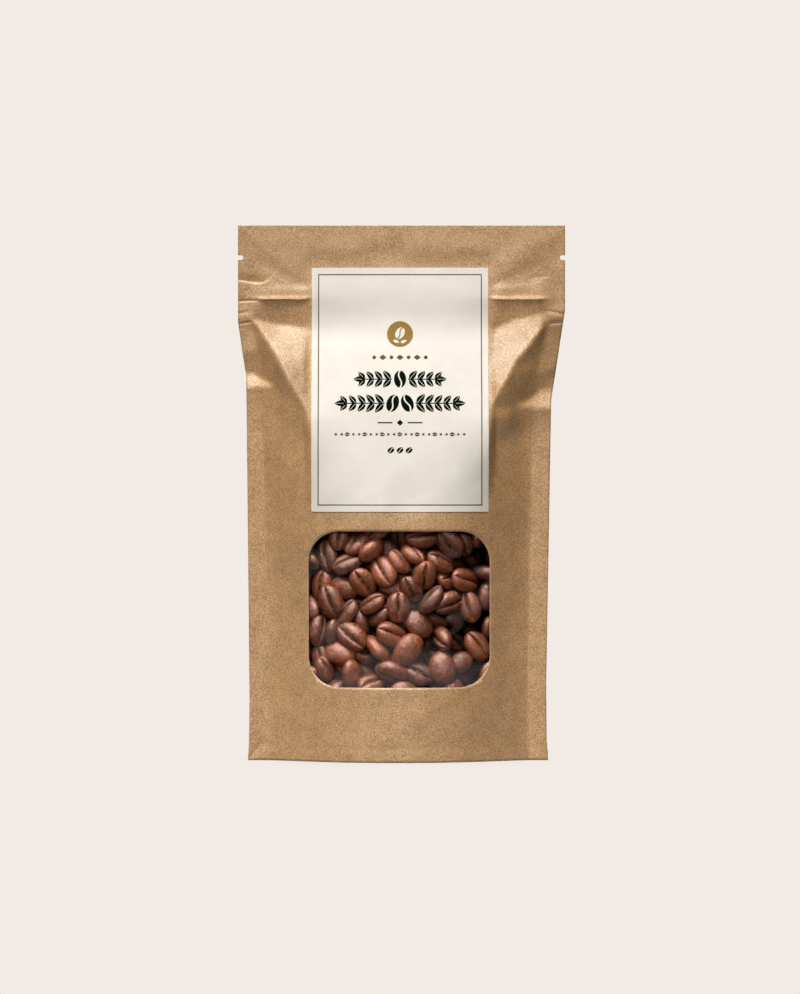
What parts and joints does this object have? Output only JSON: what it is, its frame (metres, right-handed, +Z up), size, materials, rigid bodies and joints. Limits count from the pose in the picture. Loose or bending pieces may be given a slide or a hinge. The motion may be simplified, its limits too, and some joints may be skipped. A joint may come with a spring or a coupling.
{
  "type": "coffee bag",
  "caption": "Filled stand-up kraft paper coffee pouch with zip ridge, side seals, tear notches, a clear window showing roasted beans and a cream label.",
  "frame": {"origin": "under the middle of the pouch, on the plane it stands on", "axes": "+Z up to the sealed top, -Y out of the labelled front, +X to the right seen from the front"},
  "size_m": [0.13, 0.0453, 0.2125],
  "materials": {
    "kraft_paper": "uncoated brown kraft, fine fibre mottle",
    "clear_film": "clear glossy film",
    "roasted_beans": "dark roasted, satin",
    "label_paper": "smooth matt cream label stock",
    "dark_ink": "matt dark green-black ink on the label",
    "gold_ink": "satin gold-brown ink on the label"
  },
  "bodies": {
    "root": {"pouch": "kraft_paper", "window_film": "clear_film", "coffee_beans": "roasted_beans", "label": "label_paper"}
  },
  "joints": []
}
